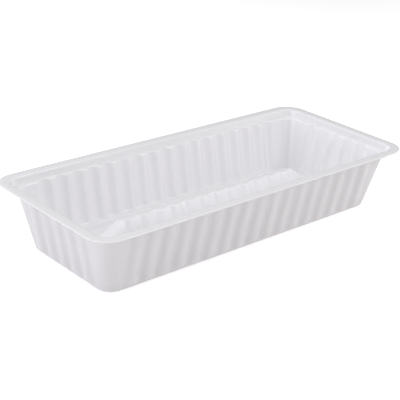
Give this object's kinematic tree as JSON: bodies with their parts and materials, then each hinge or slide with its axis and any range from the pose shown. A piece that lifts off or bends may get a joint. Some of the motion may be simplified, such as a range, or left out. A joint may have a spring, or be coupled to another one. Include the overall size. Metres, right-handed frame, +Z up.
{
  "type": "developing tray",
  "caption": "Shallow rectangular tray formed from one plastic sheet, with a flat rim, stacking ledge, fluted sloping walls and a hipped ridge along the floor.",
  "frame": {"origin": "on the standing surface, under the middle of the floor", "axes": "+X along the length, +Y across the width, +Z up out of the mouth"},
  "size_m": [0.26, 0.115, 0.043],
  "materials": {
    "white_sheet": "satin white polystyrene sheet"
  },
  "bodies": {
    "root": {"tray": "white_sheet"}
  },
  "joints": []
}
